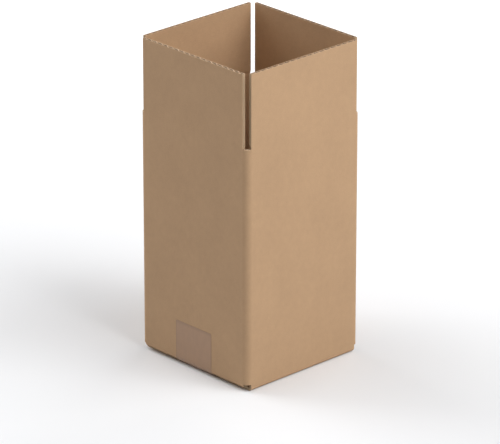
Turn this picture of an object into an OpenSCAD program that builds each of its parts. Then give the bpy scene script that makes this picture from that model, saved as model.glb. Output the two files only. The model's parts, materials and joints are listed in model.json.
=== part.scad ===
// Open cardboard carton: one creased, slotted and folded sheet of corrugated board.
// Its bottom flaps are folded in and taped, and its four top flaps stand open.
// X runs from the left face to the right face, Y from the front face to the back face.
// Z is up, and the origin is on the floor under the middle of the carton.

/* [Carton] */
// Outside width, from the left face to the right face
box_w = 152.4; // [120:0.1:300]
// Outside depth, from the front face to the back face
box_d = 152.4; // [120:0.1:300]
// Height above the floor of the creases under the front and back top flaps
crease_h = 253; // [150:1:500]
// Space left between the middle and the edge of a front or back flap once it is folded in
flap_short = 0.2; // [0.2:0.1:12]

/* [Board] */
// Thickness of the corrugated board
board = 3; // [2.4:0.1:4.2]
// Thickness of each of the two flat liners
liner = 0.35; // [0.25:0.05:0.6]
// Thickness of the waved paper between the liners
medium = 0.3; // [0.2:0.05:0.5]
// Distance from one flute to the next
flute_pitch = 7.7; // [5:0.1:10]
// Share of the pitch over which a flute stands clear of its liner
flute_open = 0.85; // [0.6:0.05:0.9]
// Length of board next to a top crease in which the flutes are crushed flat
crush_len = 6; // [4.6:0.1:12]

/* [Folds and slots] */
// Outside radius of the upright corners
corner_r = 7.2; // [5:0.1:12]
// Inside radius of the bottom folds
fold_in = 1.2; // [0.6:0.1:6]
// Distance from a corner to the edge of each flap beside it
slot_half = 5.8; // [5:0.1:10]
// Depth of the top slots below the creases of the front and back flaps
slot_past = 0.5; // [0.2:0.1:3]
// Length of a corner that runs down beside the inner bottom folds
foot_past = 0.25; // [0.2:0.05:3]
// Space between two closed flaps that lie on each other
layer_gap = 0.2; // [0.1:0.05:0.5]
// Space between a top flap and its wall at the crease
crease_gap = 0.3; // [0.1:0.05:0.5]
// Space between the two outer bottom flaps
outer_seam = 1; // [0.4:0.1:6]
// Space between the two inner bottom flaps
inner_seam = 2; // [0.4:0.1:12]

/* [Glued joint] */
// Width of the tab that is glued inside the back wall
tab_w = 34; // [20:1:60]
// Outside radius of the bend into the tab
tab_r = 3.5; // [3.5:0.1:5]
// Distance of the tab's ends from the folds, at its root
tab_trim = 2; // [1:0.5:10]
// Slope of the tab's ends, in degrees
tab_slope = 15; // [5:1:30]
// Distance of the back wall's cut edge from the left face
edge_set = 1; // [0.5:0.1:2]

/* [Tape] */
// Width of the tape
tape_w = 50.8; // [24:0.1:76]
// Thickness of the tape
tape_t = 0.15; // [0.1:0.01:0.3]
// Height of the tape's two ends above the floor
tape_h = 47; // [25:1:80]
// Radius of the corners at the tape's ends
tape_r = 1.2; // [0.5:0.1:4]

/* [Hidden] */

kraft = [0.73, 0.6, 0.46];
tape_brown = [0.68, 0.55, 0.45];

// How far a cutting shape runs past what it cuts
spare = 1;
// Clearance beside a folded flap
side_gap = 0.3;
round_fn = 96;
flute_steps = 8;
bend_steps = 10;

// A closed flap lies one layer above the pair that was folded in before it
layer = board + layer_gap;
outer_crease_h = crease_h + layer;
rim_h = crease_h + min(box_w, box_d) / 2 - flap_short;

// Undersides of the two pairs of bottom flaps, and where their folds begin
fold_r = board + fold_in;
outer_under = tape_t;
inner_under = tape_t + layer;
outer_fold_h = outer_under + fold_r;
inner_fold_h = inner_under + fold_r;
bottom_reach = min(box_w, box_d) / 2;

// The upright corners run from one slot to the other
corner_from = inner_fold_h - foot_past;
corner_to = crease_h - slot_past;

// A flap on the left or right wall spans the depth, one on the front or back the width
side_span = box_d - 2 * slot_half;
front_span = box_w - 2 * slot_half;

// The wall that a part is placed on, as a turn from the left wall
LEFT = 0;
FRONT = 90;
RIGHT = 180;
BACK = 270;

wave = board / 2 - liner - medium / 2;

// Places a shape drawn at a left wall, whose outer face is at X = 0, on the named wall
module on_wall(turn) {
    half = (turn == LEFT || turn == RIGHT) ? box_w / 2 : box_d / 2;
    rotate([0, 0, turn]) translate([-half, 0, 0]) children();
}

// Runs a section, drawn as distance into the carton and height, along a wall
module along_wall(span) {
    rotate([90, 0, 0]) linear_extrude(height = span, center = true) children();
}

// A rectangle with round corners, made of plain shapes
module round_rect(w, d, r) {
    square([w - 2 * r, d], center = true);
    square([w, d - 2 * r], center = true);
    for (sx = [-1, 1], sy = [-1, 1])
        translate([sx * (w / 2 - r), sy * (d / 2 - r)]) circle(r, $fn = round_fn);
}

// A quarter of a ring, in the quadrant that the two signs name
module quarter_bend(r, sx, sy) {
    intersection() {
        difference() {
            circle(r, $fn = round_fn);
            circle(r - board, $fn = round_fn);
        }
        translate([min(sx, 0) * r, min(sy, 0) * r]) square(r);
    }
}

// The left wall turns in under the back wall's cut edge, where the tab begins
module joint_corner() {
    x0 = -box_w / 2;
    y1 = box_d / 2;
    translate([x0 + edge_set, y1 - board]) square([corner_r - edge_set, board]);
    translate([x0, y1 - corner_r]) square([board, corner_r - board - tab_r]);
    translate([x0 + tab_r, y1 - board - tab_r]) quarter_bend(tab_r, -1, 1);
}

// The walls seen from above
module wall_section() {
    difference() {
        round_rect(box_w, box_d, corner_r);
        round_rect(box_w - 2 * board, box_d - 2 * board, corner_r - board);
        translate([-box_w / 2 - spare, box_d / 2 - corner_r]) square(corner_r + spare);
    }
    joint_corner();
}

// What a slot takes out of the four upright corners above the walls
module top_slots() {
    for (sx = [-1, 1], sy = [-1, 1])
        translate([sx * box_w / 2, sy * box_d / 2, corner_to + outer_crease_h / 2])
            cube([2 * slot_half, 2 * slot_half, outer_crease_h], center = true);
}

// The crushed inner half of a crease on the wall: a slope down from the outer face
module crease_cut(crease, span) {
    edge = crease - crease_gap / 2;
    deep = board + spare / 2;
    along_wall(span + 2 * side_gap)
        polygon([[-spare, edge + spare], [deep, edge - deep], [deep, rim_h], [-spare, rim_h]]);
}

// The straight foot of a front or back wall, which is drawn with its fold instead
module fold_room(span) {
    along_wall(span)
        translate([-spare, 0]) square([board + 2 * spare, inner_fold_h]);
}

// A fold and the bottom flap beyond it, down from the height where the wall is whole
module bottom_flap(span, under, whole_from, reach) {
    fold_h = under + fold_r;
    along_wall(span) {
        if (whole_from > fold_h) translate([0, fold_h]) square([board, whole_from - fold_h]);
        translate([fold_r, fold_h]) quarter_bend(fold_r, -1, -1);
        translate([fold_r, under]) square([reach - fold_r, board]);
    }
}

// The tab inside the back wall. Its root is as high as the corner, and its ends slope from there.
module glue_tab() {
    x0 = -box_w / 2 + tab_r;
    x1 = -box_w / 2 + slot_half - side_gap;
    x2 = x0 + tab_w;
    low = inner_fold_h + tab_trim;
    high = crease_h - board - tab_trim;
    rise = (x2 - x1) * tan(tab_slope);
    translate([0, box_d / 2 - board, 0]) rotate([90, 0, 0]) linear_extrude(height = board)
        polygon([[x0, corner_from], [x1, corner_from], [x1, low], [x2, low + rise],
            [x2, high - rise], [x1, high], [x1, corner_to], [x0, corner_to]]);
}

// The walls, the glued joint and the folded bottom, all one sheet
module carton() {
    color(kraft) {
        difference() {
            translate([0, 0, corner_from])
                linear_extrude(height = outer_crease_h - corner_from) wall_section();
            top_slots();
            for (turn = [LEFT, RIGHT]) on_wall(turn) crease_cut(outer_crease_h, side_span);
            for (turn = [FRONT, BACK]) on_wall(turn) crease_cut(crease_h, front_span);
            for (turn = [FRONT, BACK]) on_wall(turn) fold_room(front_span);
        }
        for (turn = [LEFT, RIGHT]) on_wall(turn)
            bottom_flap(side_span, outer_under, corner_from, box_w / 2 - outer_seam / 2);
        for (turn = [FRONT, BACK]) on_wall(turn)
            bottom_flap(front_span, inner_under, inner_fold_h, bottom_reach - inner_seam / 2);
        glue_tab();
    }
}

// One channel of the flutes, between the outer liner and the trough of the wave
function channel(half) = concat(
    [for (i = [0:flute_steps]) let (y = half * (2 * i / flute_steps - 1))
        [board / 2 + wave * cos(360 * y / flute_pitch) - medium / 2, y]],
    [[liner, half], [liner, -half]]);

// Both rows of channels across a flap, as seen on its cut edge
module flute_channels(span) {
    half = flute_open * flute_pitch / 2;
    count = floor((span - 2 * liner - 2 * half) / flute_pitch) + 1;
    first = -(count - 1) * flute_pitch / 2;
    for (i = [0:count - 1])
        translate([0, first + i * flute_pitch]) polygon(channel(half));
    for (i = [0:count - 2])
        translate([board, first + (i + 0.5) * flute_pitch]) mirror([1, 0]) polygon(channel(half));
}

// A top flap: crushed at the crease, and fluted from there to its cut edge
module top_flap(crease, span) {
    edge = crease + crease_gap / 2;
    flute_h = crease + crush_len;
    along_wall(span)
        polygon([[0, edge], [board, edge + board], [board, flute_h], [0, flute_h]]);
    translate([0, 0, flute_h]) linear_extrude(height = rim_h - flute_h) difference() {
        translate([0, -span / 2]) square([board, span]);
        flute_channels(span);
    }
}

module front_flap() {
    color(kraft) on_wall(FRONT) top_flap(crease_h, front_span);
}

module back_flap() {
    color(kraft) on_wall(BACK) top_flap(crease_h, front_span);
}

module left_flap() {
    color(kraft) on_wall(LEFT) top_flap(outer_crease_h, side_span);
}

module right_flap() {
    color(kraft) on_wall(RIGHT) top_flap(outer_crease_h, side_span);
}

// One face of the tape where it wraps a bottom fold, as short straights that touch the fold
function tape_wrap(r, wrap) =
    let (step = wrap / bend_steps)
    [for (i = [0:bend_steps - 1]) let (a = (i + 0.5) * step)
        [fold_r, inner_fold_h] - r / cos(step / 2) * [cos(a), sin(a)]];

// Half of the tape, seen from its edge: up the wall, round the fold and along the floor.
// Between the fold and the outer flaps' edge the tape is stretched straight.
module tape_half() {
    drop = inner_fold_h - tape_t;
    shift = fold_r - slot_half;
    to_fold = sqrt(drop * drop + shift * shift);
    wrap = asin(fold_r / to_fold) - atan(shift / drop);
    mitre = tape_t * tan((90 - wrap) / 2);
    back = tape_wrap(fold_r, wrap);
    past_middle = box_d / 2 + spare;
    polygon(concat(
        [[0, tape_h], [-tape_t, tape_h]],
        tape_wrap(fold_r + tape_t, wrap),
        [[slot_half - mitre, 0], [past_middle, 0], [past_middle, tape_t], [slot_half, tape_t]],
        [for (i = [1:bend_steps]) back[bend_steps - i]]));
}

// The strip of tape over the bottom seam, with its ends on the front and back walls
module tape() {
    color(tape_brown) intersection() {
        for (turn = [FRONT, BACK]) on_wall(turn) along_wall(tape_w) tape_half();
        rotate([90, 0, 0]) linear_extrude(height = box_d + 2 * spare, center = true)
            translate([0, tape_h / 2 - tape_r]) round_rect(tape_w, tape_h + 2 * tape_r, tape_r);
    }
}

carton();
front_flap();
back_flap();
left_flap();
right_flap();
tape();
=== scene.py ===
"""Looks of an open cardboard carton: the corrugated sheet, its flutes and creases, and the tape."""

import json
import math

import bpy
import numpy as np
from mathutils import Matrix, Vector


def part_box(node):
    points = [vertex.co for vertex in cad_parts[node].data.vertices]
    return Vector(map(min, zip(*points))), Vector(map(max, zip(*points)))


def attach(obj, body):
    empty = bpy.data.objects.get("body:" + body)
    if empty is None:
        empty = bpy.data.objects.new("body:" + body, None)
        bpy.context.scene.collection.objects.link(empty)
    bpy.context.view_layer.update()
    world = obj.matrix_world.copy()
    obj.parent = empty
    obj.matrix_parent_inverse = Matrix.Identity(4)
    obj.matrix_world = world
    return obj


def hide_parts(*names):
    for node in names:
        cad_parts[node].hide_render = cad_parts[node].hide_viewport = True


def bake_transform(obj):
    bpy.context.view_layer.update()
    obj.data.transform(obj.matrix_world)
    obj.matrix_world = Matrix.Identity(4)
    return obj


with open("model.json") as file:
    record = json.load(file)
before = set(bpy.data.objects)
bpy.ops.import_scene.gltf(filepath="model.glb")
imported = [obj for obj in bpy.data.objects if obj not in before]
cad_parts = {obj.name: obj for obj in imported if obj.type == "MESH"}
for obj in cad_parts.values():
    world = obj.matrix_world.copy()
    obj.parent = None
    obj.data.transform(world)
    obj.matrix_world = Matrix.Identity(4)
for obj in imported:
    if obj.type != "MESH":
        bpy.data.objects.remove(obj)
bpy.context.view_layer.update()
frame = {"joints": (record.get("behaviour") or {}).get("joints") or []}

# Lengths are in millimetres here, and in metres in Blender
MM = 0.001

# What the frame says: the walls, the creases, the rim and the tape
CREASES = {j["child"]: j["pos_m"][2] / MM for j in frame["joints"]}
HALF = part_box("carton")[1].x / MM
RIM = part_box("front_flap")[1].z / MM
FLAP_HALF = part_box("front_flap")[1].x / MM
TAPE_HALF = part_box("tape")[1].x / MM
TAPE_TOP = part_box("tape")[1].z / MM
TAPE_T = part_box("tape")[1].y / MM - HALF

# The walls in the order of the sheet, with the turn of each from the front wall in degrees
TURNS = {"front": 0.0, "right": 90.0, "back": 180.0, "left": 270.0}

# The board: two liners and a waved medium between them, of darker paper made darker still as painted
# shade in the flutes' hollows
BOARD = 3.0
LINER = 0.3
MEDIUM = 0.55
PITCH = 7.7
WAVE_CLEAR = BOARD / 2 - LINER - MEDIUM / 2
WAVE_PRESS = 1.12
WAVE_REACH = WAVE_CLEAR * WAVE_PRESS
CRUSH = 6.0
LAYER_GAP = 0.2
LAYER = BOARD + LAYER_GAP

# Creases of the top flaps: a faint pinch outside and a pressed groove inside
PINCH = 0.06
PINCH_REACH = 1.1
GROOVE = 0.45
GROOVE_REACH = 1.2
JOIN_BELOW = 1.0
INNER_CREASE = CREASES["front_flap"]
OUTER_CREASE = CREASES["right_flap"]

# The upright corners and the bottom folds
CORNER_R = 7.2
CORNER_FLAT = HALF - CORNER_R
FOLD_R = 4.2
INNER_FOLD = TAPE_T + LAYER + FOLD_R
FOOT_PAST = 0.25
SLOT_PAST = 0.5
POST_FOOT = INNER_FOLD - FOOT_PAST
POST_TOP = INNER_CREASE - SLOT_PAST
OUTER_SEAM = 0.5
INNER_SEAM = 1.0

# The glued joint: the left wall's tab inside the back wall
GLUE = 0.05
TAB_R = 3.5
TAB_W = 34.0
TAB_TRIM = 2.0
TAB_SLOPE = math.radians(15)
TAB_LOW = INNER_FOLD + TAB_TRIM
TAB_HIGH = INNER_CREASE - BOARD - TAB_TRIM
JOINT_FLAT = HALF - BOARD - GLUE - TAB_R
ROOT_GAP = 0.3
EDGE_SET = 1.0

# The tape's ends, cut on a toothed blade
TAPE_R = 1.2
TOOTH = 0.35
TOOTH_HALF_PITCH = 0.8

# Wear with a painted highlight: how far it reaches from the slots' edges and from the rim, and how
# strong it is.
# The rim is worn, and painted paler, most where the wave backs its liner.
WEAR_AND_LIGHT_REACH = 0.9
RIM_REACH = 0.5
RIM_WEAR_AND_HIGHLIGHT = 0.5
BACKED_TOP = 1.2
BACKED_DROP = 1.6
SLOT_WEAR_AND_HIGHLIGHT = 0.2
# The bottom folds get the same paleness: wear with a painted highlight that lightens their shade
FOLD_WEAR_AND_HIGHLIGHT = 3.5

# The longest steps of the meshes, and how many points their curves have.
# A flap's finest rows end BEND_END above its crease, and its rim's rows begin RIM_BAND below the rim.
FLAT_STEP = 9.0
ROW_STEP = 12.0
NARROW_STEP = 2.0
TAB_STEP = 8.0
CURVE_STEP = 0.4
CREASE_STEP = 0.5
BEND_STEP = 0.25
BEND_END = 4.2
CRUSH_STEP = 1.0
RIM_STEP = 0.7
RIM_BAND = 3 * WEAR_AND_LIGHT_REACH
TAPE_UP_STEP = 4.0
TAPE_FLOOR_STEP = 6.0
FLUTE_STEPS = 14
CORNER_POINTS = 15
JOINT_POINTS = 9
FOLD_POINTS = 13
TAPE_POINTS = 9

# Heights closer than NEAR are one, and so are points that are alike to this many digits.
# Edges bent more than SHARP_ANGLE are shaded as sharp.
NEAR = 0.001
DIGITS = 4
SHARP_ANGLE = math.radians(38)

# The corners of a cell's low side along each axis, in the order that makes the face look outwards
CELL_SIDES = (
    ((0, 0, 0), (0, 1, 0), (0, 1, 1), (0, 0, 1)),
    ((0, 0, 0), (0, 0, 1), (1, 0, 1), (1, 0, 0)),
    ((0, 0, 0), (1, 0, 0), (1, 1, 0), (0, 1, 0)),
)

# Which material a face has: a liner's face, a cut across the flutes, the medium's face or a slot's side,
# which is painted darker as shade.
# A flap's third and fourth surfaces, from outside, are the medium's.
LINER_KIND = 0
CUT_KIND = 1
MEDIUM_KIND = 2
SLOT_KIND = 3
MEDIUM_SIDES = (2, 3)

# Paper and tape: the colours, the levels of worn parts with their painted highlight and of a cut's
# hollows painted as shade, and the relief
LINER_TINT = (0.488, 0.314, 0.182)
# The medium's colour: darker paper, with painted shade of the flutes' hollows
MEDIUM_AND_SHADE_TINT = (0.17, 0.1, 0.055)
WEAR_AND_HIGHLIGHT_LEVEL = 1.25
CUT_TINT = (0.74, 0.54, 0.36)
# A cut's hollows are painted dark, as shade
CUT_HOLLOW_SHADE = 0.3
# The slots' sides: a cut's colour painted darker, as shade in the slots
SLOT_SHADE_TINT = (0.53, 0.38, 0.24)
SLOT_HOLLOW_SHADE = 0.7
CUT_SOFT = 0.1
TAPE_TINT = (0.40, 0.246, 0.151)
TAPE_EDGE_LEVEL = 0.8
RIB_HEIGHT = 0.006
FIBRE_HEIGHT = 0.02
CUT_FIBRE_HEIGHT = 0.05
STREAK_HEIGHT = 0.03
LINER_ROUGHNESS = 0.78
CUT_ROUGHNESS = 0.85
TAPE_ROUGHNESS = (0.34, 0.46)
NOISE_RANGE = (0.3, 0.7)

# Camera, where the photograph was taken from
CAMERA_AZIMUTH = 46.56
CAMERA_ELEVATION = 22.2
CAMERA_DISTANCE = 4249.0
CAMERA_TARGET_H = 165.0
CAMERA_RIGHT = -0.06
CAMERA_UP = -26.65
FOCAL_PX = 4330.0
PHOTO_WIDTH_PX = 500.0
SENSOR = 36.0

# The floor, in metres: its grey near the box, painted shade round FLOOR_MIDDLE, grows paler as far as
# FLOOR_FAR, and white by FLOOR_END
FLOOR_MIDDLE = (0.16, -0.05, 0.0)
FLOOR_NEAR = 0.17
FLOOR_FAR = 0.9
FLOOR_END = 2.0
FLOOR_REACH = 12.0
FLOOR_SEEN_SHADED = 0.82
FLOOR_PALE = 0.95
FLOOR_BOUNCED = 0.7
FLOOR_TINT = (0.99, 1.0, 1.02)
FLOOR_ROUGHNESS = 0.9
SQUARE = ((-1, -1), (1, -1), (1, 1), (-1, 1))

# The light: an even surround and square lamps, which stand round a point in the box, in metres.
# Each lamp has its azimuth, elevation, size and the level of a surface that faces it, where 1 is white.
SURROUND = 0.2
LAMP_DISTANCE = 2.5
LAMP_TARGET_H = 0.15
LAMPS = {
    "key": (100, 52, 1.4, 0.42),
    "key_low": (90, 30, 1.4, 0.19),
    "key_right": (130, 40, 1.6, 0.31),
    "fill": (285, 35, 1.8, 0.56),
    "front": (325, 60, 1.4, 0.17),
    "back": (190, 40, 1.2, 0.13),
}


def smooth(t):
    """An eased step from 0 to 1."""
    t = np.clip(t, 0.0, 1.0)
    return t * t * (3.0 - 2.0 * t)


def steps(start, end, longest):
    """Evenly spaced values from start to end, no further apart than longest."""
    return np.linspace(start, end, max(1, math.ceil(abs(end - start) / longest)) + 1)


def chain(*runs):
    """Joins runs of values that begin where the one before ends."""
    return np.concatenate([runs[0]] + [run[1:] for run in runs[1:]])


def path_length(depth, height):
    """The distance run along a path at each of its points."""
    return np.concatenate([[0.0], np.cumsum(np.hypot(np.diff(depth), np.diff(height)))])


# Heights of the rows that the walls, corners and joint share, so that their meshes meet point to point
ROWS = chain(
    steps(POST_FOOT, INNER_FOLD, NARROW_STEP),
    steps(INNER_FOLD, TAB_LOW, NARROW_STEP),
    steps(TAB_LOW, TAB_HIGH, ROW_STEP),
    steps(TAB_HIGH, INNER_CREASE - JOIN_BELOW, CREASE_STEP),
    steps(INNER_CREASE - JOIN_BELOW, POST_TOP, CREASE_STEP),
    steps(POST_TOP, OUTER_CREASE - JOIN_BELOW, CREASE_STEP),
)


def rows_between(low, high):
    """The shared rows from one height to another."""
    return ROWS[(ROWS > low - NEAR) & (ROWS < high + NEAR)]


def block_faces(index, solid):
    """The quads round a block's solid cells, and which material each has."""
    quads, kinds = [], []
    padded = np.pad(solid, 1)
    for axis, corners in enumerate(CELL_SIDES):
        for side in (0, 1):
            beyond = np.roll(padded, 1 - 2 * side, axis)[1:-1, 1:-1, 1:-1]
            cells = np.argwhere(solid & ~beyond)
            cells[:, axis] += side
            ring = [index[tuple((cells + np.array(corner)).T)] for corner in corners]
            quads.append(np.stack(ring if side == 0 else ring[::-1], axis=1))
            if axis == 2:
                medium = np.isin(cells[:, 2], MEDIUM_SIDES)
                kinds.append(np.where(medium, MEDIUM_KIND, LINER_KIND))
            else:
                kinds.append(np.full(len(cells), (SLOT_KIND, CUT_KIND)[axis]))
    return quads, kinds


def brick_mesh(name, blocks, materials):
    """One closed mesh round the solid cells of some grids. Cells that touch have no wall between them.

    A block is (points, sheet, solid). Its first axis runs to the right along the board as seen
    from outside, its second runs up, and its third runs from the outer face to the inner face.
    """
    points, sheet, quads, kinds = [], [], [], []
    count = 0
    for grid, coords, solid in blocks:
        size = math.prod(grid.shape[:3])
        block_quads, block_kinds = block_faces(count + np.arange(size).reshape(grid.shape[:3]), solid)
        count += size
        points.append(grid.reshape(-1, 3))
        sheet.append(coords.reshape(-1, 4))
        quads += block_quads
        kinds += block_kinds
    points, sheet = np.concatenate(points), np.concatenate(sheet)
    quads, kinds = np.concatenate(quads), np.concatenate(kinds)
    _, first, merged = np.unique(
        np.round(points, DIGITS), axis=0, return_index=True, return_inverse=True
    )
    quads = merged.reshape(-1)[quads]
    points, sheet = points[first], sheet[first]
    ordered = np.sort(quads, axis=1)
    _, group, times = np.unique(ordered, axis=0, return_inverse=True, return_counts=True)
    repeats = (np.diff(ordered, axis=1) == 0).sum(axis=1)
    keep = (times[group.reshape(-1)] == 1) & (repeats < 2)
    faces = [list(dict.fromkeys(quad)) for quad in quads[keep].tolist()]
    mesh = bpy.data.meshes.new(name)
    mesh.from_pydata((points * MM).tolist(), [], faces)
    for material in materials:
        mesh.materials.append(material)
    kinds = np.minimum(kinds[keep], len(materials) - 1)
    mesh.polygons.foreach_set("material_index", kinds.astype(np.int32))
    mesh.polygons.foreach_set("use_smooth", np.ones(len(faces), bool))
    place = mesh.attributes.new("sheet", "FLOAT_VECTOR", "POINT")
    place.data.foreach_set("vector", sheet[:, :3].astype(np.float32).ravel())
    wear_and_painted_light = mesh.attributes.new("wear_and_painted_light", "FLOAT", "POINT")
    wear_and_painted_light.data.foreach_set("value", sheet[:, 3].astype(np.float32))
    mesh.update()
    mesh.set_sharp_from_angle(angle=SHARP_ANGLE)
    piece = bpy.data.objects.new(name, mesh)
    bpy.context.scene.collection.objects.link(piece)
    return piece


def block(grid, place, height, depth, wear_and_painted_light=0.0, solid=None):
    """A block of grid points with their place on the flat sheet and how much wear and painted light each
    has.
    """
    shape = grid.shape[:3]
    if solid is None:
        solid = np.ones([n - 1 for n in shape], bool)
    coords = np.stack([np.broadcast_to(v, shape) for v in (place, height, depth, wear_and_painted_light)], axis=-1)
    return grid, coords, solid


def layer_block(outer, inner, place, height, wear_and_painted_light=0.0):
    """A block that is one solid layer of board."""
    grid = np.stack([outer, inner], axis=2)
    return block(grid, place[:, :, None], height[:, :, None], np.array([0.0, BOARD]), wear_and_painted_light)


def on_wall(wall, along, depth, height):
    """A point at a place along a wall, as seen from outside, a depth into it and a height."""
    turn = math.radians(TURNS[wall])
    across = depth - HALF
    x = along * math.cos(turn) - across * math.sin(turn)
    y = along * math.sin(turn) + across * math.cos(turn)
    return np.stack(np.broadcast_arrays(x, y, height), axis=-1)


def sheet_place(wall, along):
    """The place along the whole sheet of a place along a wall."""
    return list(TURNS).index(wall) * 2 * HALF + along


def corner_curve(wall, along, share):
    """How an upright corner's curve moves a point of its wall: back along it, and deeper.

    Share is 0 at the outer face and 1 at the inner face. The glued joint has a tight bend on the
    left wall and no curve on the back wall.
    """
    at_joint = along < 0 if wall == "left" else np.zeros_like(along, bool)
    r = np.where(at_joint, TAB_R, CORNER_R)
    flat = np.where(at_joint, JOINT_FLAT, CORNER_FLAT)
    over = np.clip(np.abs(along) - flat, 0.0, r)
    if wall == "back":
        over = np.where(along > 0, 0.0, over)
    drawn = share * BOARD / r
    return -np.sign(along) * over * drawn, (r - np.sqrt(r**2 - over**2)) * (1 - drawn)


def outer_depth(height, crease):
    """The outer face by a crease, as a depth: a faint pinch."""
    return PINCH * np.exp(-(((height - crease) / PINCH_REACH) ** 2))


def inner_depth(height, crease):
    """The inner face by a crease, as a depth: a pressed groove."""
    return BOARD - GROOVE * np.exp(-(((height - crease) / GROOVE_REACH) ** 2))


def wall_columns():
    """Places along a wall, between the edges of its flaps."""
    side = chain(
        steps(CORNER_FLAT, JOINT_FLAT, CURVE_STEP), steps(JOINT_FLAT, FLAP_HALF, CURVE_STEP)
    )
    return chain(-side[::-1], steps(-CORNER_FLAT, CORNER_FLAT, FLAT_STEP), side)


def wall_block(wall, low):
    """A wall, from a height up to where its top flap begins."""
    crease = CREASES[wall + "_flap"]
    a, z = np.meshgrid(wall_columns(), rows_between(low, crease - JOIN_BELOW), indexing="ij")
    faces = []
    for share, depth in ((0.0, outer_depth(z, crease)), (1.0, inner_depth(z, crease))):
        back, deeper = corner_curve(wall, a, share)
        faces.append(on_wall(wall, a + back, depth + deeper, z))
    return layer_block(*faces, sheet_place(wall, a), z)


def post_block(wall):
    """An upright corner, from the edge of one wall's flaps to the edge of the next wall's."""
    start = math.asin((FLAP_HALF - HALF + CORNER_R) / CORNER_R)
    angle = np.linspace(start, math.pi / 2 - start, CORNER_POINTS)
    t, z = np.meshgrid(angle, rows_between(POST_FOOT, POST_TOP), indexing="ij")
    faces = []
    for r in (CORNER_R, CORNER_R - BOARD):
        faces.append(on_wall(wall, CORNER_FLAT + r * np.sin(t), CORNER_R - r * np.cos(t), z))
    return layer_block(*faces, sheet_place(wall, 0.0) + CORNER_FLAT + CORNER_R * t, z)


def tab_block(columns, z):
    """Part of the glue tab, inside the back wall."""
    a = np.broadcast_to(columns[:, None], z.shape)
    outer = on_wall("back", a, BOARD + GLUE, z)
    inner = on_wall("back", a, 2 * BOARD + GLUE, z)
    return layer_block(outer, inner, sheet_place("left", 0.0) - JOINT_FLAT - HALF + a, z)


def joint_blocks():
    """The glued joint: the back wall's cut edge, the left wall's bend, and the tab with its root."""
    rows = rows_between(POST_FOOT, POST_TOP)
    a, z = np.meshgrid(steps(FLAP_HALF, HALF - EDGE_SET, NARROW_STEP), rows, indexing="ij")
    outer, inner = on_wall("back", a, 0.0, z), on_wall("back", a, BOARD, z)
    cut = layer_block(outer, inner, sheet_place("back", a), z)
    start = math.asin((FLAP_HALF - JOINT_FLAT) / TAB_R)
    t, z = np.meshgrid(np.linspace(math.pi / 2, start, JOINT_POINTS), rows, indexing="ij")
    faces = []
    for r in (TAB_R, TAB_R - BOARD):
        faces.append(on_wall("left", -JOINT_FLAT - r * np.sin(t), TAB_R - r * np.cos(t), z))
    bend = layer_block(*faces, sheet_place("left", 0.0) - JOINT_FLAT - TAB_R * t, z)

    bend_end = HALF - TAB_R
    root_end = FLAP_HALF + ROOT_GAP
    root = tab_block(np.array([root_end, bend_end]), np.broadcast_to(rows, (2, len(rows))))
    columns = steps(bend_end - TAB_W, root_end, TAB_STEP)
    trim = (root_end - columns[:, None]) * math.tan(TAB_SLOPE)
    share = (rows_between(TAB_LOW, TAB_HIGH) - TAB_LOW) / (TAB_HIGH - TAB_LOW)
    sloped = tab_block(columns, TAB_LOW + trim + share * (TAB_HIGH - TAB_LOW - 2 * trim))
    return [cut, bend, root, sloped]


def fold_block(wall, under, top, reach):
    """A bottom flap, its fold and the foot of its wall, up to a height."""
    angle = np.linspace(0.0, math.pi / 2, FOLD_POINTS)
    depth = steps(reach, FOLD_R, FLAT_STEP)[:-1]
    straight = np.full(len(depth), under)
    faces = []
    for share, r in ((0.0, FOLD_R), (1.0, FOLD_R - BOARD)):
        d = np.concatenate([depth, FOLD_R - r * np.sin(angle)])
        z = np.concatenate([straight + share * BOARD, under + FOLD_R - r * np.cos(angle)])
        if top > under + FOLD_R + NEAR:
            d, z = np.append(d, share * BOARD), np.append(z, top)
        faces.append((share, d, z))
    _, outer_d, outer_z = faces[0]
    run = path_length(outer_d, outer_z)
    bend = np.clip((outer_z - under) / FOLD_R, 0.0, 1.0)
    # The fold is paler along its bend: wear with a painted highlight that lightens its shade
    wear_and_painted_light = FOLD_WEAR_AND_HIGHLIGHT * bend**2 * (1 - bend)
    a, _ = np.meshgrid(wall_columns(), run, indexing="ij")
    ease = smooth((outer_z - under) / (top - under))
    grids = []
    for share, d, z in faces:
        back, deeper = corner_curve(wall, a, share)
        grids.append(on_wall(wall, a + back * ease, d + deeper * ease, np.broadcast_to(z, a.shape)))
    height = np.broadcast_to(outer_z[-1] - run[-1] + run, a.shape)
    return layer_block(*grids, sheet_place(wall, a), height, wear_and_painted_light[None, :, None])


def build_carton(materials):
    """The walls, upright corners, glued joint and folded bottom, one sheet."""
    blocks = joint_blocks()
    for wall in TURNS:
        if wall in ("front", "back"):
            under, foot, seam = TAPE_T + LAYER, INNER_FOLD, INNER_SEAM
        else:
            under, foot, seam = TAPE_T, POST_FOOT, OUTER_SEAM
        blocks.append(wall_block(wall, foot))
        blocks.append(fold_block(wall, under, foot, HALF - seam))
        if wall != "back":
            blocks.append(post_block(wall))
    return brick_mesh("carton_sheet", blocks, materials)


def flute_levels(along):
    """Depths of the six surfaces across the board at each place along it."""
    wave = BOARD / 2 + WAVE_REACH * np.cos(2 * np.pi * along / PITCH)
    low = np.clip(wave - MEDIUM / 2, LINER, BOARD - LINER - MEDIUM)
    levels = (0.0, LINER, low, low + MEDIUM, BOARD - LINER, BOARD)
    return np.stack(np.broadcast_arrays(*levels), axis=-1)


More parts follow.
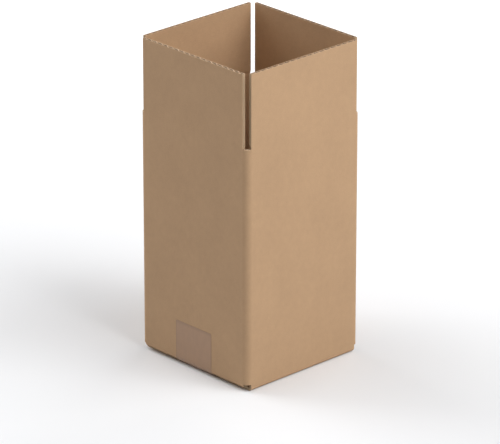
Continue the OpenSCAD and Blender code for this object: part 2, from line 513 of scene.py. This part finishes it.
def build_flap(wall, materials):
    """A top flap, from just below its crease to its cut edge, with open flutes."""
    crease = CREASES[wall + "_flap"]
    step = PITCH / FLUTE_STEPS
    whole = math.ceil(FLAP_HALF / step) - 1
    along = np.concatenate([[-FLAP_HALF], np.arange(-whole, whole + 1) * step, [FLAP_HALF]])
    start, bent, fluted = crease - JOIN_BELOW, crease + BEND_END, crease + CRUSH
    below = chain(steps(start, bent, BEND_STEP), steps(bent, fluted, CRUSH_STEP))
    above = chain(steps(fluted, RIM - RIM_BAND, FLAT_STEP), steps(RIM - RIM_BAND, RIM, RIM_STEP))
    levels = flute_levels(along)
    share = levels[:, None, :] / BOARD
    a = along[:, None, None]
    z = chain(below, above)[None, :, None]
    front = outer_depth(z, crease)
    depth = front + (inner_depth(z, crease) - front) * share
    curved = 1 - smooth((z - start) / (crease - start))
    back, deeper = corner_curve(wall, a, share)
    grid = on_wall(wall, a + back * curved, depth + deeper * curved, z)
    wave = levels[:, 2:4].mean(axis=1)[:, None, None]
    backed = smooth(BACKED_TOP - BACKED_DROP * np.abs(levels[:, None, :] - wave) / BOARD)
    edge = FLAP_HALF - np.abs(a)
    # The rim is paler where the wave backs the liner: wear with a painted highlight
    rim = RIM_WEAR_AND_HIGHLIGHT * backed * np.exp(-(((RIM - z) / RIM_REACH) ** 2))
    # The edges by the slots are paler too: wear with a painted highlight
    wear_and_painted_light = np.maximum(rim, SLOT_WEAR_AND_HIGHLIGHT * np.exp(-((edge / WEAR_AND_LIGHT_REACH) ** 2)))
    solid = np.ones([n - 1 for n in grid.shape[:3]], bool)
    for hollow in (1, 3):
        solid[1:-1, len(below) - 1 :, hollow] = False
    whole_block = block(grid, sheet_place(wall, a), z, levels[:, None, :], wear_and_painted_light, solid)
    return brick_mesh(wall + "_flap_board", [whole_block], materials)


def tape_face(r, turn, corner, floor_h):
    """One face of half of the tape, as depths and heights from its end to the middle of the bottom."""
    up = steps(TAPE_TOP, INNER_FOLD, TAPE_UP_STEP)[:-1]
    along_floor = steps(corner, HALF, TAPE_FLOOR_STEP)
    depth = np.concatenate([np.full(len(up), FOLD_R - r), FOLD_R - r * np.cos(turn), along_floor])
    height = np.concatenate([up, INNER_FOLD - r * np.sin(turn), np.full(len(along_floor), floor_h)])
    return depth, height


def build_tape(material):
    """The strip of tape over the bottom seam, stretched from the folds to the outer flaps' edges."""
    slot_half = HALF - FLAP_HALF
    drop, shift = INNER_FOLD - TAPE_T, FOLD_R - slot_half
    wrap = math.asin(FOLD_R / math.hypot(drop, shift)) - math.atan2(shift, drop)
    mitre = TAPE_T * math.tan((math.pi / 2 - wrap) / 2)
    turn = np.linspace(0.0, wrap, TAPE_POINTS)
    outer = tape_face(FOLD_R + TAPE_T, turn, slot_half - mitre, 0.0)
    inner = tape_face(FOLD_R, turn, slot_half, TAPE_T)
    columns = steps(-TAPE_HALF, TAPE_HALF, TOOTH_HALF_PITCH)
    over = np.clip(np.abs(columns) - (TAPE_HALF - TAPE_R), 0.0, TAPE_R)
    end = -(TAPE_R - np.sqrt(TAPE_R**2 - over**2)) - TOOTH * (np.arange(len(columns)) % 2)
    faces = []
    for depth, height in (outer, inner):
        y = np.concatenate([HALF - depth, (depth - HALF)[::-1][1:]])
        z = np.concatenate([height, height[::-1][1:]])
        grid = np.stack(np.broadcast_arrays(columns[:, None], y[None, :], z[None, :]), axis=-1)
        grid[:, (0, -1), 2] += end[:, None]
        faces.append(grid)
    path = path_length(y, z)
    from_side = TAPE_HALF - np.abs(columns)[:, None]
    edge = np.minimum(from_side, np.minimum(path, path[-1] - path)[None, :])
    # Darker towards the tape's edges and ends: painted edge shade
    wear_and_painted_light = np.exp(-((edge / WEAR_AND_LIGHT_REACH) ** 2))[:, :, None]
    place, length = np.meshgrid(columns, path, indexing="ij")
    strip = layer_block(*faces, place, length, wear_and_painted_light)
    return brick_mesh("tape_strip", [strip], [material])


class Wiring:
    """A new material, with short calls that wire up its nodes."""

    def __init__(self, name, roughness, specular=0.25):
        self.material = bpy.data.materials.new(name)
        self.material.use_nodes = True
        self.nodes = self.material.node_tree.nodes
        self.links = self.material.node_tree.links
        self.surface = self.nodes["Principled BSDF"]
        self.surface.inputs["Roughness"].default_value = roughness
        self.surface.inputs["Specular IOR Level"].default_value = specular

    def attribute(self, name, output):
        """An attribute of the mesh."""
        node = self.nodes.new("ShaderNodeAttribute")
        node.attribute_name = name
        return node.outputs[output]

    def feed(self, socket, value):
        """Links a socket to another, or sets it to a number."""
        if isinstance(value, bpy.types.NodeSocket):
            self.links.new(value, socket)
        else:
            socket.default_value = value

    def maths(self, operation, one, two=0.0):
        """The result of an operation on one or two values."""
        node = self.nodes.new("ShaderNodeMath")
        node.operation = operation
        self.feed(node.inputs[0], one)
        self.feed(node.inputs[1], two)
        return node.outputs[0]

    def scaled(self, value, start, end, low, high):
        """The value's range from start to end, made low to high, and held there beyond it."""
        node = self.nodes.new("ShaderNodeMapRange")
        for name, number in zip(("From Min", "From Max", "To Min", "To Max"), (start, end, low, high)):
            node.inputs[name].default_value = number
        self.links.new(value, node.inputs["Value"])
        return node.outputs["Result"]

    def varied(self, noise, low, high):
        """Noise, made a level from low to high."""
        return self.scaled(noise, *NOISE_RANGE, low, high)

    def noise(self, place, scale, detail, rough):
        """Noise with its own scale along each axis."""
        stretch = self.nodes.new("ShaderNodeVectorMath")
        stretch.operation = "MULTIPLY"
        stretch.inputs[1].default_value = scale
        self.links.new(place, stretch.inputs[0])
        node = self.nodes.new("ShaderNodeTexNoise")
        node.inputs["Scale"].default_value = 1.0
        node.inputs["Detail"].default_value = detail
        node.inputs["Roughness"].default_value = rough
        self.links.new(stretch.outputs[0], node.inputs["Vector"])
        return node.outputs["Fac"]

    def product(self, *values):
        """All the values, multiplied."""
        result = values[0]
        for value in values[1:]:
            result = self.maths("MULTIPLY", result, value)
        return result

    def colour(self, tint, level):
        """Colours the surface with a tint at a level."""
        node = self.nodes.new("ShaderNodeVectorMath")
        node.operation = "SCALE"
        node.inputs[0].default_value = tint
        self.links.new(level, node.inputs["Scale"])
        self.links.new(node.outputs[0], self.surface.inputs["Base Color"])

    def relief(self, height):
        """Bumps whose height is given in millimetres."""
        node = self.nodes.new("ShaderNodeBump")
        node.inputs["Strength"].default_value = 1.0
        node.inputs["Distance"].default_value = MM
        self.links.new(height, node.inputs["Height"])
        self.links.new(node.outputs["Normal"], self.surface.inputs["Normal"])

    def across_flutes(self, place):
        """A wave from -1 to 1 that follows the flutes, and the depth in the board."""
        split = self.nodes.new("ShaderNodeSeparateXYZ")
        self.links.new(place, split.inputs[0])
        turns = self.maths("MULTIPLY", split.outputs["X"], 2 * math.pi / PITCH)
        return self.maths("COSINE", turns), split.outputs["Z"]


def paper_level(wires, place):
    """Cloudy and fibrous changes of tone, as shares of the colour, and the fibres by themselves."""
    mottle = wires.varied(wires.noise(place, (0.022, 0.016, 0.02), 4.0, 0.55), 0.965, 1.035)
    cloud = wires.varied(wires.noise(place, (0.16, 0.13, 0.2), 3.0, 0.6), 0.975, 1.025)
    fibres = wires.noise(place, (0.5, 2.2, 1.2), 6.0, 0.7)
    fine = wires.varied(fibres, 0.93, 1.07)
    specks = wires.scaled(wires.noise(place, (1.3, 1.7, 1.5), 2.0, 0.5), 0.68, 0.74, 1.0, 0.86)
    return wires.product(mottle, cloud, fine, specks), fibres


def kraft_paper(name, tint):
    """Brown paper: mottled, fibrous, faintly ribbed by its flutes, and paler where it is worn and where
    a highlight is painted.
    """
    wires = Wiring(name, LINER_ROUGHNESS)
    place = wires.attribute("sheet", "Vector")
    level, fibres = paper_level(wires, place)
    # Paler where worn and where a highlight is painted
    wear_and_painted_light = wires.scaled(wires.attribute("wear_and_painted_light", "Fac"), 0.0, 1.0, 1.0, WEAR_AND_HIGHLIGHT_LEVEL)
    wires.colour(tint, wires.product(level, wear_and_painted_light))
    wave, _ = wires.across_flutes(place)
    ribs = wires.maths("MULTIPLY", wave, RIB_HEIGHT)
    wires.relief(wires.maths("ADD", ribs, wires.maths("MULTIPLY", fibres, FIBRE_HEIGHT)))
    return wires.material


def kraft_cut_with_hollow_shade(name, tint, hollow):
    """A cut through the board: pale edges of the liners and the wave, and hollows between them painted
    dark as shade.
    """
    wires = Wiring(name, CUT_ROUGHNESS)
    place = wires.attribute("sheet", "Vector")
    level, fibres = paper_level(wires, place)
    wave, depth = wires.across_flutes(place)
    wave = wires.maths("MULTIPLY", wave, WAVE_REACH)
    wave = wires.maths("MINIMUM", wires.maths("MAXIMUM", wave, -WAVE_CLEAR), WAVE_CLEAR)
    from_mid = wires.maths("SUBTRACT", depth, BOARD / 2)
    off_wave = wires.maths("ABSOLUTE", wires.maths("SUBTRACT", from_mid, wave))
    medium = wires.scaled(off_wave, MEDIUM / 2, MEDIUM / 2 + CUT_SOFT, 1.0, 0.0)
    liner_start = BOARD / 2 - LINER
    off_mid = wires.maths("ABSOLUTE", from_mid)
    liner = wires.scaled(off_mid, liner_start - CUT_SOFT, liner_start, 0.0, 1.0)
    # The hollows between the paper are painted dark, as shade
    paper = wires.scaled(wires.maths("MAXIMUM", medium, liner), 0.0, 1.0, hollow, 1.0)
    wires.colour(tint, wires.product(level, paper))
    wires.relief(wires.maths("MULTIPLY", fibres, CUT_FIBRE_HEIGHT))
    return wires.material


def tape_film(name, tint):
    """Brown packing tape: smooth, a little glossy and streaky, and darker along its edges as painted
    edge shade.
    """
    wires = Wiring(name, sum(TAPE_ROUGHNESS) / 2, specular=0.5)
    place = wires.attribute("sheet", "Vector")
    streaks = wires.noise(place, (0.9, 0.05, 0.5), 4.0, 0.6)
    patches = wires.noise(place, (0.12, 0.12, 0.1), 3.0, 0.55)
    level = wires.product(
        wires.varied(streaks, 0.965, 1.035),
        wires.varied(patches, 0.97, 1.03),
        wires.scaled(wires.attribute("wear_and_painted_light", "Fac"), 0.0, 1.0, 1.0, TAPE_EDGE_LEVEL),
    )
    wires.colour(tint, level)
    wires.links.new(wires.varied(patches, *TAPE_ROUGHNESS), wires.surface.inputs["Roughness"])
    wires.relief(wires.maths("MULTIPLY", streaks, STREAK_HEIGHT))
    return wires.material


def look_from(azimuth, elevation):
    """The direction from the middle of the object towards a viewer or lamp."""
    a, e = math.radians(azimuth), math.radians(elevation)
    return Vector((math.sin(a) * math.cos(e), -math.cos(a) * math.cos(e), math.sin(e)))


def add_camera():
    """The camera, at the photograph's viewing angle."""
    turn = math.radians(CAMERA_AZIMUTH)
    back = look_from(CAMERA_AZIMUTH, CAMERA_ELEVATION)
    right = Vector((math.cos(turn), math.sin(turn), 0))
    up = back.cross(right)
    axes = Matrix((right, up, back)).transposed().to_4x4()
    place = Vector((0, 0, CAMERA_TARGET_H)) + back * CAMERA_DISTANCE
    place += right * CAMERA_RIGHT + up * CAMERA_UP
    camera = bpy.data.objects.new("camera", bpy.data.cameras.new("camera"))
    bpy.context.scene.collection.objects.link(camera)
    camera.matrix_world = Matrix.Translation(place * MM) @ axes
    camera.data.sensor_width = SENSOR
    camera.data.lens = FOCAL_PX / PHOTO_WIDTH_PX * SENSOR
    bpy.context.scene.camera = camera


def add_lamp(name, azimuth, elevation, size, level):
    """A square lamp that lights a surface that faces it to the given level."""
    data = bpy.data.lights.new(name, "AREA")
    data.size = size
    data.energy = level * (math.pi * LAMP_DISTANCE) ** 2
    lamp = bpy.data.objects.new(name, data)
    bpy.context.scene.collection.objects.link(lamp)
    direction = look_from(azimuth, elevation)
    lamp.location = direction * LAMP_DISTANCE + Vector((0, 0, LAMP_TARGET_H))
    lamp.rotation_euler = direction.to_track_quat("Z", "Y").to_euler()


def seen_rays(nodes, links):
    """1 for what the camera, a reflection or glass sees, and 0 for light that bounces on."""
    path = nodes.new("ShaderNodeLightPath")
    seen = path.outputs["Is Camera Ray"]
    for ray in ("Is Glossy Ray", "Is Transmission Ray"):
        either = nodes.new("ShaderNodeMath")
        either.operation = "MAXIMUM"
        links.new(seen, either.inputs[0])
        links.new(path.outputs[ray], either.inputs[1])
        seen = either.outputs[0]
    return seen


def add_floor():
    """A pale floor: one tone for the view, which keeps the shadow, and one for light that bounces."""
    mesh = bpy.data.meshes.new("floor")
    mesh.from_pydata([(x * FLOOR_REACH, y * FLOOR_REACH, 0) for x, y in SQUARE], [], [(0, 1, 2, 3)])
    floor = bpy.data.objects.new("floor", mesh)
    bpy.context.scene.collection.objects.link(floor)
    wires = Wiring("floor", FLOOR_ROUGHNESS, specular=0.0)
    distance = wires.nodes.new("ShaderNodeVectorMath")
    distance.operation = "DISTANCE"
    distance.inputs[1].default_value = FLOOR_MIDDLE
    place = wires.nodes.new("ShaderNodeNewGeometry")
    wires.links.new(place.outputs["Position"], distance.inputs[0])
    away = distance.outputs["Value"]
    rays = seen_rays(wires.nodes, wires.links)
    # The view's tone is greyer near the box and paler away from it: painted shade and light on the floor
    seen = wires.scaled(away, FLOOR_NEAR, FLOOR_FAR, FLOOR_SEEN_SHADED, FLOOR_PALE)
    choice = wires.nodes.new("ShaderNodeMix")
    choice.inputs["A"].default_value = FLOOR_BOUNCED
    wires.links.new(seen, choice.inputs["B"])
    wires.links.new(rays, choice.inputs["Factor"])
    wires.colour(FLOOR_TINT, choice.outputs["Result"])
    white = wires.product(rays, wires.scaled(away, FLOOR_FAR, FLOOR_END, 0.0, 1.0))
    wires.links.new(white, wires.surface.inputs["Emission Strength"])
    mesh.materials.append(wires.material)


def add_surround():
    """An even surround that lights the object, and looks white from the camera and in reflections."""
    world = bpy.data.worlds.new("surround")
    bpy.context.scene.world = world
    world.use_nodes = True
    nodes, links = world.node_tree.nodes, world.node_tree.links
    strength = nodes.new("ShaderNodeMapRange")
    strength.inputs["To Min"].default_value = SURROUND
    strength.inputs["To Max"].default_value = 1.0
    links.new(seen_rays(nodes, links), strength.inputs["Value"])
    ground = nodes["Background"]
    ground.inputs["Color"].default_value = (1, 1, 1, 1)
    links.new(strength.outputs["Result"], ground.inputs["Strength"])


bpy.context.scene.view_settings.view_transform = "Standard"
add_camera()
board_materials = [
    kraft_paper("kraft_liner", LINER_TINT),
    kraft_cut_with_hollow_shade("kraft_cut_with_hollow_shade", CUT_TINT, CUT_HOLLOW_SHADE),
    kraft_paper("kraft_medium_and_shade", MEDIUM_AND_SHADE_TINT),
    kraft_cut_with_hollow_shade("kraft_slot_shade", SLOT_SHADE_TINT, SLOT_HOLLOW_SHADE),
]

carton = build_carton(board_materials)
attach(carton, "carton")
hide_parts("carton")

tape = build_tape(tape_film("tape_film", TAPE_TINT))
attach(tape, "carton")
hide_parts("tape")

for wall in TURNS:
    flap = build_flap(wall, board_materials)
    body = wall + "_flap"
    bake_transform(flap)
    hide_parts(body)

add_floor()
add_surround()
for name, lamp in LAMPS.items():
    add_lamp(name, *lamp)
